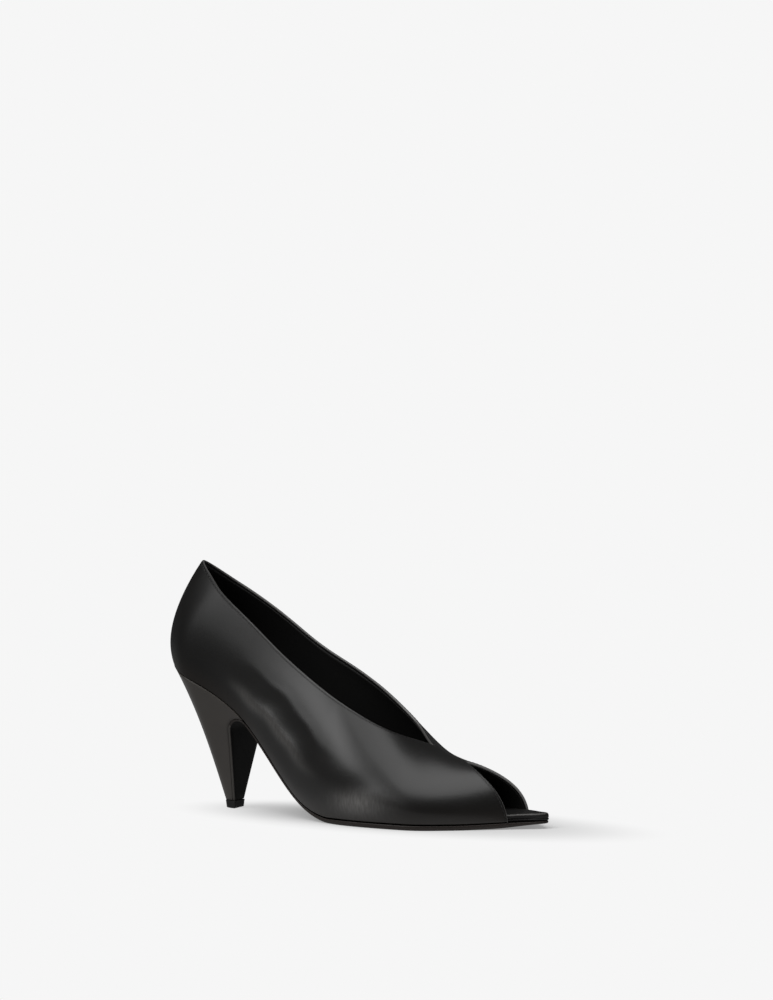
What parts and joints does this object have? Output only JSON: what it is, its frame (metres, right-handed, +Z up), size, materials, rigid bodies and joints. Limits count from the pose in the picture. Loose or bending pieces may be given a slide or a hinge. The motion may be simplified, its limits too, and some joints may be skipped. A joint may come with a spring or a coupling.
{
  "type": "high heel pump",
  "caption": "Right shoe of a pair: open-toe leather pump with a deep V throat, a cone heel with a covered breast, a thin sole and a rubber top piece.",
  "frame": {"origin": "middle of the shoe's footprint box, on the ground that heel and ball stand on", "axes": "+X towards the toe, +Y towards the inner side of the foot, +Z up"},
  "size_m": [0.226, 0.0778, 0.1365],
  "materials": {
    "upper_leather": "black smooth leather with a satin shine",
    "insole_leather": "black leather with a dull satin shine",
    "sole_leather": "black dressed sole leather with a faint brown edge",
    "heel_cover": "black leather stretched over the heel block, satin",
    "top_piece_rubber": "black rubber, matt"
  },
  "bodies": {
    "root": {"upper": "upper_leather", "insole": "insole_leather", "outsole": "sole_leather", "heel": "heel_cover", "top_piece": "top_piece_rubber"}
  },
  "joints": []
}
